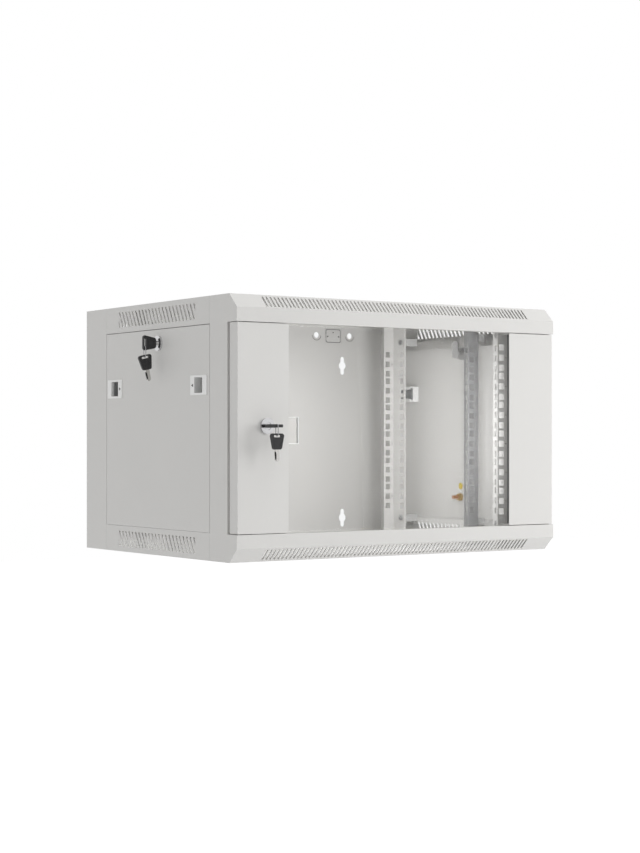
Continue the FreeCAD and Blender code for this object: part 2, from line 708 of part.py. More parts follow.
def wire_link(label, x, y, z):
    """Oval link of bent wire in the YZ plane; the point given is the top bend's centre."""
    wire, radius, drop = s["link_wire"], s["link_radius"], s["link_straight"]
    pieces = []
    for name, level, first in (("top", z, 0), ("bottom", z - drop, 180)):
        bend = doc.addObject("Part::Torus", f"{label}_{name}")
        bind(bend, "Radius1", radius)
        bind(bend, "Radius2", wire / 2)
        bend.Angle3 = 180
        turn = FreeCAD.Rotation(FreeCAD.Vector(1, 0, 0), first)
        pieces.append(put(bend, x, y, level, rotation=turn * RING_UPRIGHT))
    for name, way in (("near", -1), ("far", 1)):
        pieces.append(cylinder(f"{label}_{name}", "Z", (x, y + radius * way, z - drop),
                               wire, drop))
    return keep(fuse(pieces, label), label)


def link_below_key(label, x, y, z):
    """Link and the hanging point of the spare key under it; the point is the link's seat."""
    seat = z - (s["link_radius"] - s["link_wire"] / 2) + s["link_sag"]
    wire_link(label, x, y, seat)
    return seat - s["link_straight"] - s["link_radius"]


def spare_key_zero():
    """Height on the key of the wire that it hangs from."""
    end = s["lock_ring_height"] + s["key_neck"] + s["key_head"]
    return end - s["key_rim"] - s["key_hang"]


def door_lock():
    """Lock on the door, its keyed plug, and two keys joined by a wire link."""
    x, z = s["door_lock_in"] - half_width, s["door_lock_height"]
    depth = post_face + s["frame_sheet"] + s["cam_clearance"] - door_face
    put(lock_barrel("door_lock_barrel", depth), x, door_face, z, OUT_FRONT)
    put(lock_nut("door_lock_nut", s["door_sheet"]), x, door_face, z, OUT_FRONT)
    put(lock_plug("door_lock_plug", depth), x, door_face, z, CAM_TO_LEFT)
    put(key("door_key", as_size(0)), x, door_face, z, CAM_TO_LEFT)
    reach = s["lock_ring_height"] + s["key_neck"] + s["key_head"] - s["key_rim"] / 2
    y = door_face - reach
    hang = link_below_key("door_key_link", x, y, z + s["key_thickness"] / 2)
    put(key("door_spare_key", spare_key_zero()), x, y, hang, HANGING)


def panel_lock(side_name, rotation, face_x, with_keys):
    """Lock at the top of a side panel; its cam turns up behind the roof's lip."""
    y, z = front + s["panel_lock_setback"], panel_lock_level
    depth = half_width - lip_inner + s["cam_clearance"]
    barrel = lock_barrel(f"{side_name}_panel_lock_barrel", depth)
    nut = lock_nut(f"{side_name}_panel_lock_nut", s["panel_sheet"])
    plug = lock_plug(f"{side_name}_panel_lock_plug", depth)
    for piece in (barrel, nut, plug):
        put(piece, face_x, y, z, rotation)
    if with_keys:
        put(key(f"{side_name}_panel_key", as_size(0)), face_x, y, z, rotation)
        reach = s["lock_ring_height"] + s["key_neck"] + s["key_head"] - s["key_rim"]
        x = face_x - (reach - s["key_slot_height"] / 2)
        hang = link_below_key(f"{side_name}_key_link", x, y, z - s["key_slot"] / 2)
        put(key(f"{side_name}_spare_key", spare_key_zero()), x, y, hang,
            SPARE_LEAN * HANGING)


# ---- side panels ----

latch_sides = {"front": panel_front + s["latch_setback"],
               "rear": panel_back - s["latch_setback"]}
latch_socket = s["finger_window"] + s["bezel_wall"] * 2


def side_panel():
    """Lift-off pan with holes for its lock and for a slide latch near each end."""
    body = new_body("right_side_panel")
    sheet, fold = s["panel_sheet"], s["panel_return"]
    near, far = panel_front + s["panel_gap"], panel_back - s["panel_gap"]
    low, high = -beam_foot + s["panel_rest"], beam_foot - s["panel_gap"]
    pad(body, "YZ", half_width - fold, [rectangle(near, far, low, high)], fold)
    pocket(body, "YZ", half_width - sheet,
           [rectangle(near + sheet, far - sheet, low + sheet, high - sheet)], fold)
    half = latch_socket / 2
    windows = [rectangle(y - half, y + half, latch_level - half,
                         latch_level + half) for y in latch_sides.values()]
    lock = (front + s["panel_lock_setback"], panel_lock_level)
    pocket(body, "YZ", half_width + sheet, windows, sheet * 3,
           circles=[(lock, s["lock_barrel"])])
    mirrored(body, "left_side_panel")


# Turns of a latch drawn with its face on x = 0, outside on +X and its nose toward -Y.
LATCH_TURNS = {("right", "front"): FreeCAD.Rotation(),
               ("right", "rear"): FreeCAD.Rotation(FreeCAD.Vector(1, 0, 0), 180),
               ("left", "front"): FreeCAD.Rotation(FreeCAD.Vector(0, 1, 0), 180),
               ("left", "rear"): FreeCAD.Rotation(FreeCAD.Vector(0, 0, 1), 180)}
bezel_back = -s["flange_width"]
slider_face = bezel_back - s["latch_fit"]
slider_back = slider_face - s["slider_sheet"]


def latch_bezel(label):
    """Moulded frame round a finger window, with two hooked guides behind it."""
    body = new_body(label)
    window = s["finger_window"] / 2
    outer = latch_socket / 2
    pad(body, "YZ", bezel_back, [rectangle(-outer, outer, -outer, outer)], -bezel_back)
    pad(body, "YZ", 0, [rectangle(-s["bezel_length"] / 2, s["bezel_length"] / 2,
                                  -s["bezel_height"] / 2, s["bezel_height"] / 2)],
        s["bezel_flange"])
    pocket(body, "YZ", s["bezel_flange"] + 1, [rectangle(-window, window, -window, window)],
           s["bezel_flange"] - bezel_back + 2)
    near = s["slider_height"] / 2 + s["latch_fit"]
    far = near + s["guide_wall"]
    hook_face = slider_back - s["latch_fit"]
    hook_back = hook_face - s["guide_hook"]
    hook = [(bezel_back, near), (bezel_back, far), (hook_back, far),
            (hook_back, near - s["guide_wall"]), (hook_face, near - s["guide_wall"]),
            (hook_face, near)]
    lower = [(x, -z) for x, z in hook]
    pad(body, "XZ", -outer, [hook, lower], outer * 2)
    return body


def latch_slider(label):
    """Sliding bolt with a finger tab; its nose reaches past the edge of the panel."""
    body = new_body(label)
    half, nose = s["slider_height"] / 2, s["nose_width"] / 2
    tail = s["slider_length"] / 2
    tip = -(s["latch_setback"] + s["nose_reach"])
    plate = [(tail, -half), (tail, half), (-tail, half), (-tail, nose), (tip, nose),
             (tip, -nose), (-tail, -nose), (-tail, -half)]
    pad(body, "YZ", slider_back, [plate], s["slider_sheet"])
    tab_start = -s["finger_window"] / 2 + s["latch_fit"]
    tab = rectangle(tab_start, tab_start + s["finger_tab"], -half, half)
    pad(body, "YZ", slider_face, [tab], -slider_face - s["finger_tab_recess"])
    return body


def latches():
    for (side_name, end_name), turn in LATCH_TURNS.items():
        x = half_width if side_name == "right" else -half_width
        for maker, piece in ((latch_bezel, "bezel"), (latch_slider, "slider")):
            body = maker(f"{side_name}_{end_name}_latch_{piece}")
            put(body, x, latch_sides[end_name], latch_level, turn)


def earth_stud():
    """Threaded earthing stud inside the right panel, with a washer and a nut."""
    y, z = front + s["stud_setback"], s["stud_foot"] - half_height
    wall = half_width - s["panel_sheet"]
    length, washer, nut = s["stud_length"], s["washer_height"], s["stud_nut_height"]
    keep(cylinder("earth_stud", "X", (wall - length, y, z), s["stud_diameter"], length),
         "earth_stud")
    fittings = []
    ring = cylinder("earth_washer_blank", "X", (wall - washer, y, z),
                    s["washer_diameter"], washer)
    hexagonal = hexagon("earth_nut_blank", "X", (wall - washer - nut, y, z), s["stud_nut"],
                        nut)
    for name, blank in (("earth_washer", ring), ("earth_nut", hexagonal)):
        hole = cylinder(f"{name}_hole", "X", (wall - length, y, z), s["stud_diameter"],
                        length)
        fittings.append(cut(blank, hole, name))
    group(fittings, "earth_nut_and_washer")


# ---- the whole cabinet ----

def build():
    front_beam("top_front_beam", 1)
    front_beam("bottom_front_beam", -1)
    front_post()
    deck("roof_panel", 1)
    deck("floor_panel", -1)
    entry_cover("roof_cable_cover", 1)
    entry_cover("floor_cable_cover", -1)
    rear_panel()
    fixings = {"front": rack_rail("front", s["front_rail_setback"], False),
               "middle": rack_rail("middle", s["middle_rail_setback"], False),
               "rear": rack_rail("rear", s["rear_rail_setback"], True)}
    rail_fixings(fixings)
    door_bands()
    door_glass()
    door_hinges()
    door_lock()
    side_panel()
    panel_lock("left", OUT_LEFT, -half_width, True)
    panel_lock("right", OUT_RIGHT, half_width, False)
    latches()
    earth_stud()
    doc.recompute()


def check():
    """Stop if any object failed or any piece has no sound solid."""
    for thing in doc.Objects:
        if "Invalid" in thing.State or "Error" in thing.State:
            raise RuntimeError(f"{thing.Name} did not recompute")
    for thing in KEPT:
        shape = thing.Shape
        if shape.isNull() or not shape.isValid() or not shape.Solids:
            raise RuntimeError(f"{thing.Label} has no sound shape")


def export():
    for thing in KEPT:
        thing.Shape.exportStep(f"parts/{thing.Label}.step")
        print(f"{thing.Label}: {len(thing.Shape.Solids)} solid(s),"
              f" {thing.Shape.Volume / 1000:.1f} cm3")
    print(len(KEPT), "nodes")


build()
check()
export()
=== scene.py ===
import json
import math

import bmesh
import bpy
import numpy
from mathutils import Matrix, Vector


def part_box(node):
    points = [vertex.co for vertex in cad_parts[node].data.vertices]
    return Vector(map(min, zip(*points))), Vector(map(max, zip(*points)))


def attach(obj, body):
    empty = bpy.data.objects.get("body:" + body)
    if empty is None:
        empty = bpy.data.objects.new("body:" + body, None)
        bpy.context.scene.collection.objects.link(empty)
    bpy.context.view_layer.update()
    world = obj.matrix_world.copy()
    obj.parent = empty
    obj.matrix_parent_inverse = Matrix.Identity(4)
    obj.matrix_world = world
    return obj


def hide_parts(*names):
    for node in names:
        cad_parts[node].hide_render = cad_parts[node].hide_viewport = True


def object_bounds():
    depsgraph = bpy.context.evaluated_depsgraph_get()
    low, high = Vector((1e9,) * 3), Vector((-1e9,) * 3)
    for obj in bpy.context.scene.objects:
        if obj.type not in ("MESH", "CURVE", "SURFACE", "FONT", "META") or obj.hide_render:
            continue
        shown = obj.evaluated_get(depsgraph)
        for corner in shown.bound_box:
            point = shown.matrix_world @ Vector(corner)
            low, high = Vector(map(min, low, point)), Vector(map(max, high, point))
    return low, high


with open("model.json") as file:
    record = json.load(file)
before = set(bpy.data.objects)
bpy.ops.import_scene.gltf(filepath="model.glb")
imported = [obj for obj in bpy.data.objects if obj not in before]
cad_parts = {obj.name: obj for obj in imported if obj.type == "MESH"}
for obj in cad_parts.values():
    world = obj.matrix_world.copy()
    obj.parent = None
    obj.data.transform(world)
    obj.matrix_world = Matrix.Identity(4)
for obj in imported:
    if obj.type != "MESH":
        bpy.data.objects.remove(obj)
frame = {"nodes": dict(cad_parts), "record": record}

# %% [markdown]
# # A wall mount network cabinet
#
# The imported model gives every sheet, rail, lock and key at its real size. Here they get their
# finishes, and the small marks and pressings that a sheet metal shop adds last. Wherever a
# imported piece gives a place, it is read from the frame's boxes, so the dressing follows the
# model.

cad_low, cad_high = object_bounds()
nodes = frame["nodes"]
print("cabinet:", [round(v, 3) for v in cad_high - cad_low], "m,", len(nodes), "nodes")

# %% [markdown]
# ## The studio
#
# A product shot of a pale cabinet needs soft light from the front and the right, so that the
# front reads lighter than the side. A box of large lamps does this without hard shadows. The
# floor is pale and lies well below, because the cabinet hangs on a wall.

# %% A lamp that looks at the cabinet
TARGET = Vector((0.0, -0.225, 0.0))


def add_lamp(name, place, size, power):
    """Square area lamp aimed at the middle of the cabinet."""
    data = bpy.data.lights.new(name, "AREA")
    data.shape = "SQUARE"
    data.size = size
    data.energy = power
    lamp = bpy.data.objects.new(name, data)
    lamp.location = place
    lamp.rotation_euler = (TARGET - Vector(place)).to_track_quat("-Z", "Y").to_euler()
    lamp.visible_camera = False
    bpy.context.scene.collection.objects.link(lamp)
    return lamp


lamps = [add_lamp("front_softbox", (2.1, -2.18, 0.47), 1.6, 49),
         add_lamp("side_softbox", (-3.2, 0.3, 0.5), 2.6, 15),
         add_lamp("top_softbox", (0.3, -1.2, 2.8), 2.2, 26),
         add_lamp("rear_softbox", (0.9, 3.2, 1.3), 2.4, 26)]
lamps[0].visible_glossy = False      # its mirror image would veil the glass door

# %% [markdown]
# A deep case with one window stays dark inside, whatever shines on its front. Stronger lamps
# outside would bleach the door first, so two small light panels are hidden in the case: one
# behind the door shines backwards and one under the roof shines down. No camera, mirror or glass
# ray can see them. Light linking keeps them off the roof and the beams, so that the vents still
# open on a darker space.

# %% Hidden light panels inside the case
kept_dark = bpy.data.collections.new("kept_dark")
for name in ("roof_panel", "top_front_beam", "bottom_front_beam"):
    kept_dark.objects.link(nodes[name])
for member in kept_dark.collection_objects:
    member.light_linking.link_state = "EXCLUDE"


def add_hidden_panel(name, place, width, height, power, turn):
    """Rectangular light that only brightens matt surfaces; turn is in degrees."""
    data = bpy.data.lights.new(name, "AREA")
    data.shape = "RECTANGLE"
    data.size = width
    data.size_y = height
    data.energy = power
    panel = bpy.data.objects.new(name, data)
    panel.location = place
    panel.rotation_euler = [math.radians(angle) for angle in turn]
    panel.light_linking.receiver_collection = kept_dark
    panel.visible_camera = False
    panel.visible_glossy = False
    panel.visible_transmission = False
    bpy.context.scene.collection.objects.link(panel)
    return panel


behind_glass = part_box("door_glass")[1].y + 0.008
lamps.append(add_hidden_panel("case_fill", (0.11, behind_glass, 0.0), 0.16, 0.22, 0.96,
                              (90, 0, 16)))
lamps.append(add_hidden_panel("case_floor_fill", (-0.06, -0.22, 0.120), 0.32, 0.26, 0.35,
                              (0, -12, 0)))
print(len(lamps), "lamps")

# %% [markdown]
# The world is plain white. A camera ray, a glossy ray and a ray that comes through glass see it
# at full strength, so the background stays white in the picture and in the reflections, while
# the light that it throws on the cabinet stays gentle.

# %% World
WHITE_AS_LIGHT = 0.48      # strength of the world where it lights a matt surface


def light_path_mix(tree):
    """1 for rays that should see plain white, from the camera, a mirror or the glass."""
    rays = tree.nodes.new("ShaderNodeLightPath")
    total = rays.outputs["Is Camera Ray"]
    for kind in ("Is Transmission Ray", "Is Glossy Ray"):
        either = tree.nodes.new("ShaderNodeMath")
        either.operation = "MAXIMUM"
        tree.links.new(total, either.inputs[0])
        tree.links.new(rays.outputs[kind], either.inputs[1])
        total = either.outputs["Value"]
    return total


def make_world():
    """White world, gentle as a light and plain white to the eye."""
    world = bpy.data.worlds.new("white_studio")
    world.use_nodes = True
    tree = world.node_tree
    background = tree.nodes["Background"]
    background.inputs["Color"].default_value = (1, 1, 1, 1)
    strength = tree.nodes.new("ShaderNodeMapRange")
    strength.inputs["To Min"].default_value = WHITE_AS_LIGHT
    strength.inputs["To Max"].default_value = 1.0
    tree.links.new(light_path_mix(tree), strength.inputs["Value"])
    tree.links.new(strength.outputs["Result"], background.inputs["Strength"])
    bpy.context.scene.world = world


make_world()
bpy.context.scene.view_settings.view_transform = "Standard"
print("world:", bpy.context.scene.world.name)

# %% [markdown]
# The cabinet hangs on a wall, so its floor is far below it. A floor close by would throw light
# on the lower beam and draw a shadow that a hung cabinet doesn't have. This one is pale, matt and
# very wide, and it glows a little for the camera, so that it runs into the white background.

# %% Floor
FLOOR_DROP = 0.9
FLOOR_HALF_WIDTH = 12.0
FLOOR_GLOW = 0.6


def make_floor():
    """Pale floor far below the hung cabinet; it glows a little for the camera only."""
    half = FLOOR_HALF_WIDTH
    level = cad_low.z - FLOOR_DROP
    mesh = bpy.data.meshes.new("floor")
    mesh.from_pydata([(-half, -half, level), (half, -half, level), (half, half, level),
                      (-half, half, level)], [], [(0, 1, 2, 3)])
    floor = bpy.data.objects.new("floor", mesh)
    bpy.context.scene.collection.objects.link(floor)
    material = bpy.data.materials.new("pale_floor")
    material.use_nodes = True
    tree = material.node_tree
    shader = tree.nodes["Principled BSDF"]
    shader.inputs["Base Color"].default_value = (0.86, 0.86, 0.86, 1)
    shader.inputs["Roughness"].default_value = 0.9
    shader.inputs["Emission Color"].default_value = (1, 1, 1, 1)
    glow = tree.nodes.new("ShaderNodeMath")
    glow.operation = "MULTIPLY"
    glow.inputs[1].default_value = FLOOR_GLOW
    tree.links.new(light_path_mix(tree), glow.inputs[0])
    tree.links.new(glow.outputs["Value"], shader.inputs["Emission Strength"])
    mesh.materials.append(material)
    return floor


floor = make_floor()
print("floor at", round(floor.data.vertices[0].co.z, 3), "m")

# %% [markdown]
# ## The camera
#
# The cabinet is looked at from its left, a little below the middle of its height, with the
# camera level. A level camera keeps every upright edge truly upright, and a small shift frames
# the cabinet instead of a tilt.

# %% Camera
camera_data = bpy.data.cameras.new("camera")
camera_data.lens = 75.95
camera_data.sensor_width = 36
camera_data.shift_y = 0.0149
camera = bpy.data.objects.new("camera", camera_data)
camera.location = (-1.565, -2.541, -0.0152)
camera.rotation_euler = (math.radians(90), 0, math.radians(-34.12))
bpy.context.scene.collection.objects.link(camera)
bpy.context.scene.camera = camera
print("camera lens", camera_data.lens, "mm")

# %% [markdown]
# ## Finishes
#
# Powder coat is a baked plastic skin with a very fine orange peel. It is never one flat grey: it
# carries faint clouds, a paler rub along the folded edges where hands and tools touch it, and a
# little dust on what faces up. These effects are shared, so each is a node group that is built
# once and placed in every material with its own values.

# %% A helper that starts a node group
def new_group(name, inputs, outputs):
    """Shader node group with float inputs (name, default) and outputs (name, kind)."""
    tree = bpy.data.node_groups.new(name, "ShaderNodeTree")
    for label, default in inputs:
        socket = tree.interface.new_socket(label, in_out="INPUT", socket_type="NodeSocketFloat")
        socket.default_value = default
    for label, kind in outputs:
        tree.interface.new_socket(label, in_out="OUTPUT", socket_type=f"NodeSocket{kind}")
    return tree, tree.nodes.new("NodeGroupInput"), tree.nodes.new("NodeGroupOutput")


def math_node(tree, operation, first, second=None, clamp=False):
    """Math node whose inputs are sockets or plain numbers."""
    node = tree.nodes.new("ShaderNodeMath")
    node.operation = operation
    node.use_clamp = clamp
    for socket, value in zip(node.inputs, (first, second)):
        if isinstance(value, bpy.types.NodeSocket):
            tree.links.new(value, socket)
        elif value is not None:
            socket.default_value = value
    return node.outputs["Value"]


def noise(tree, scale, detail, stretch=(1, 1, 1)):
    """Fractal noise on the piece's own coordinates; scale is in waves to the metre."""
    place = tree.nodes.new("ShaderNodeTexCoord")
    mapping = tree.nodes.new("ShaderNodeMapping")
    mapping.inputs["Scale"].default_value = stretch
    texture = tree.nodes.new("ShaderNodeTexNoise")
    texture.inputs["Detail"].default_value = detail
    tree.links.new(place.outputs["Object"], mapping.inputs["Vector"])
    tree.links.new(mapping.outputs["Vector"], texture.inputs["Vector"])
    if isinstance(scale, bpy.types.NodeSocket):
        tree.links.new(scale, texture.inputs["Scale"])
    else:
        texture.inputs["Scale"].default_value = scale
    return texture.outputs["Fac"]


print("helpers for node groups are ready")

# %% [markdown]
# Edge wear comes from a bevel shader trick: the normal of a rounded edge, seen by the Bevel node,
# differs from the true normal only near an edge. The difference, broken up by noise, is the mask
# of a rubbed edge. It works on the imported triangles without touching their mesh.

# %% Shared effects: edge rub, clouds, dust and peel
EDGE_GAIN = 3.5           # the bend of a normal at a rubbed edge, brought up to a full mask
DUST_TILT = 0.6           # upward part of the normal above which dust settles


def make_edge_rub():
    """Mask of the folded edges that hands and tools rub."""
    tree, given, result = new_group("edge_rub", [("Width", 0.0008), ("Amount", 0.6)],
                                    [("Mask", "Float")])
    bevel = tree.nodes.new("ShaderNodeBevel")
    bevel.samples = 4
    tree.links.new(given.outputs["Width"], bevel.inputs["Radius"])
    geometry = tree.nodes.new("ShaderNodeNewGeometry")
    dot = tree.nodes.new("ShaderNodeVectorMath")
    dot.operation = "DOT_PRODUCT"
    tree.links.new(bevel.outputs["Normal"], dot.inputs[0])
    tree.links.new(geometry.outputs["Normal"], dot.inputs[1])
    bend = math_node(tree, "SUBTRACT", 1.0, dot.outputs["Value"], clamp=True)
    strong = math_node(tree, "MULTIPLY", bend, EDGE_GAIN, clamp=True)
    patchy = math_node(tree, "MULTIPLY", strong, noise(tree, 90, 3))
    tree.links.new(math_node(tree, "MULTIPLY", patchy, given.outputs["Amount"]),
                   result.inputs["Mask"])
    return tree


def make_clouds():
    """Two sizes of soft variation about zero, so that Amount is its full swing."""
    tree, given, result = new_group("clouds", [("Size", 9.0), ("Amount", 0.1)],
                                    [("Value", "Float")])
    broad = noise(tree, given.outputs["Size"], 3)
    fine = noise(tree, 240, 4)
    both = math_node(tree, "ADD", math_node(tree, "MULTIPLY", broad, 0.7),
                     math_node(tree, "MULTIPLY", fine, 0.3))
    centred = math_node(tree, "SUBTRACT", both, 0.5)
    tree.links.new(math_node(tree, "MULTIPLY", centred, given.outputs["Amount"]),
                   result.inputs["Value"])
    return tree


def make_dust():
    """Fine dust that settles on what faces up."""
    tree, given, result = new_group("dust", [("Amount", 0.12)], [("Mask", "Float")])
    geometry = tree.nodes.new("ShaderNodeNewGeometry")
    axes = tree.nodes.new("ShaderNodeSeparateXYZ")
    tree.links.new(geometry.outputs["Normal"], axes.inputs["Vector"])
    upward = math_node(tree, "SUBTRACT", axes.outputs["Z"], DUST_TILT, clamp=True)
    patchy = math_node(tree, "MULTIPLY", upward, noise(tree, 35, 5))
    tree.links.new(math_node(tree, "MULTIPLY", patchy, given.outputs["Amount"]),
                   result.inputs["Mask"])
    return tree


def make_peel():
    """Height of the orange peel of a sprayed or baked skin."""
    tree, given, result = new_group("orange_peel", [("Scale", 900.0)], [("Height", "Float")])
    tree.links.new(noise(tree, given.outputs["Scale"], 2), result.inputs["Height"])
    return tree


edge_rub, clouds, dust, peel = make_edge_rub(), make_clouds(), make_dust(), make_peel()
print("groups:", [g.name for g in (edge_rub, clouds, dust, peel)])

# %% [markdown]
# ## One recipe for the finishes
#
# Paint, plating and moulded plastic differ in colour, gloss and grain, but the steps are the
# same: two close tones mixed by clouds, a rub colour on the edges, dust on top, and a bump. The
# recipe takes those as named values, so that each finish below is a short list of its own facts.

# %% The recipe for a finish
DUST_COLOUR = (0.62, 0.61, 0.58)
RUBBED_PALER = 1.25       # for a finish that names no rub colour of its own
CLOUD_DULLING, DUST_DULLING = 0.16, 0.5      # what clouds and dust add to the roughness
GRAIN_STRENGTH = 0.35


def mix_colour(tree, factor, first, second):
    """Mix of two colours, each a socket or three numbers."""
    node = tree.nodes.new("ShaderNodeMix")
    node.data_type = "RGBA"
    tree.links.new(factor, node.inputs["Factor"])
    for socket, value in ((node.inputs["A"], first), (node.inputs["B"], second)):
        if isinstance(value, bpy.types.NodeSocket):
            tree.links.new(value, socket)
        else:
            socket.default_value = (*value, 1)
    return node.outputs["Result"]


def place_group(tree, group, **values):
    """Node group placed in a material with its own values; returns its first output."""
    node = tree.nodes.new("ShaderNodeGroup")
    node.node_tree = group
    for label, value in values.items():
        node.inputs[label].default_value = value
    return node.outputs[0]


def make_finish(name, colour, roughness, metallic=0.0, swing=0.06, rub_colour=None, rub=0.3,
                rub_width=0.0007, dusty=0.1, grain=900.0, depth=0.00002, stretch=None):
    """Principled material with clouds, rubbed edges, dust and grain."""
    material = bpy.data.materials.new(name)
    material.use_nodes = True
    tree = material.node_tree
    shader = tree.nodes["Principled BSDF"]
    shader.inputs["Metallic"].default_value = metallic
    tone = place_group(tree, clouds, Size=7.0, Amount=1.0)
    factor = math_node(tree, "ADD", tone, 0.5, clamp=True)
    darker = [max(0.0, c * (1 - swing)) for c in colour]
    lighter = [min(1.0, c * (1 + swing)) for c in colour]
    base = mix_colour(tree, factor, darker, lighter)
    worn = place_group(tree, edge_rub, Width=rub_width, Amount=rub)
    base = mix_colour(tree, worn, base, rub_colour or [min(1.0, c * RUBBED_PALER) for c in colour])
    settled = place_group(tree, dust, Amount=dusty)
    base = mix_colour(tree, settled, base, DUST_COLOUR)
    tree.links.new(base, shader.inputs["Base Color"])
    rough = math_node(tree, "MULTIPLY", tone, CLOUD_DULLING)
    rough = math_node(tree, "ADD", rough, roughness)
    rough = math_node(tree, "ADD", rough, math_node(tree, "MULTIPLY", settled, DUST_DULLING),
                      clamp=True)
    tree.links.new(rough, shader.inputs["Roughness"])
    height = (noise(tree, grain, 2, stretch) if stretch
              else place_group(tree, peel, Scale=grain))
    bump = tree.nodes.new("ShaderNodeBump")
    bump.inputs["Strength"].default_value = GRAIN_STRENGTH
    bump.inputs["Distance"].default_value = depth
    tree.links.new(height, bump.inputs["Height"])
    tree.links.new(bump.outputs["Normal"], shader.inputs["Normal"])
    return material


print("recipe ready")

# %% [markdown]
# The case is powder coated light grey. The middle pair of rails is bare zinc, and its dark
# grey colour paints the shade of the case into the zinc. The locks are chromed, the keys' wire
# links are spring steel, and the mouldings are pale, mid grey and black; the latch sliders are
# pale themselves, and their mid grey is painted shade of the bezel recess. Each finish could be a
# material tree of its own, but a list of values is shorter, and two finishes can be compared line
# by line.

# %% The finishes of the case and its fittings
finishes = {
    "powder_coat": make_finish("light_grey_powder_coat", (0.672, 0.665, 0.648), 0.46,
                               swing=0.035, rub_colour=(0.80, 0.80, 0.79), rub=0.35,
                               dusty=0.10, grain=1100.0, depth=0.00003),
    # The dark base colour of this zinc is painted shade: the middle rails sit in the shade of the
    # case.
    "zinc_steel": make_finish("zinc_darkened_by_painted_shade", (0.35, 0.35, 0.35), 0.50, metallic=0.35,
                              swing=0.10, rub_colour=(0.62, 0.62, 0.62), dusty=0.08,
                              grain=420.0, stretch=(1, 1, 0.08)),
    "chrome": make_finish("lock_chrome", (0.62, 0.62, 0.63), 0.16, metallic=1.0, swing=0.05,
                          rub=0.2, dusty=0.05, grain=700.0, depth=0.000006),
    "black_plastic": make_finish("key_black_plastic", (0.014, 0.014, 0.015), 0.40, swing=0.25,
                                 rub_colour=(0.07, 0.07, 0.07), rub=0.3, dusty=0.05,
                                 grain=1500.0),
    "spring_steel": make_finish("spring_wire", (0.30, 0.30, 0.31), 0.32, metallic=1.0,
                                swing=0.10, dusty=0.03, grain=800.0, depth=0.000006),
    "light_plastic": make_finish("pale_latch_plastic", (0.86, 0.86, 0.85), 0.38, swing=0.03,
                                 rub_colour=(0.80, 0.80, 0.79), dusty=0.10, grain=1700.0),
    # The latch slider is pale like its bezel; this mid grey is painted shade of the recess it sits
    # in.
    "grey_plastic": make_finish("latch_slider_painted_recess_shade", (0.23, 0.235, 0.235), 0.44, swing=0.10,
                                rub_colour=(0.34, 0.34, 0.34), dusty=0.10, grain=1700.0),
    "foam_tape": make_finish("grey_foam_tape", (0.10, 0.10, 0.105), 0.88, swing=0.2, rub=0.1,
                             dusty=0.2, grain=2600.0, depth=0.00006),
    "nylon": make_finish("ivory_nylon", (0.60, 0.59, 0.54), 0.45, swing=0.05, rub=0.2,
                         grain=1500.0),
    "copper": make_finish("copper_plated_stud", (0.60, 0.33, 0.19), 0.30, metallic=1.0,
                          swing=0.12, rub_colour=(0.80, 0.52, 0.35), grain=800.0),
    "brass": make_finish("yellow_brass", (0.62, 0.46, 0.20), 0.30, metallic=1.0, swing=0.10,
                         rub_colour=(0.80, 0.66, 0.38), grain=800.0),
}
print(len(finishes), "finishes")

# %% [markdown]
# The door's pane is clear float glass, 4 mm thick. Real float glass is a little green, and it is
# seen mostly by its edges and its reflections. It must also let light into the case, so the shader
# is clear to shadow rays: a pane of pure refraction would leave the case almost dark. A flat pane
# hardly bends what is behind it, so most of a straight look goes through unbent as well, less so
# at a slant. The cut edges, found by their own direction, are green and not clear.

# %% Glass of the door
GLASS_IOR = 1.45
CUT_EDGE_GREEN = (0.16, 0.38, 0.31)
SMEAR_TINT, CLEAN_TINT = (0.955, 0.975, 0.965), (0.985, 0.995, 0.99)
SMEAR_DULLING = 0.004
STRAIGHT_TINT = (0.964, 0.964, 0.968)      # of what goes through unbent
STRAIGHT_SHARE, SLANT_BLEND = 0.9, 0.35    # share that goes straight, and its loss at a slant


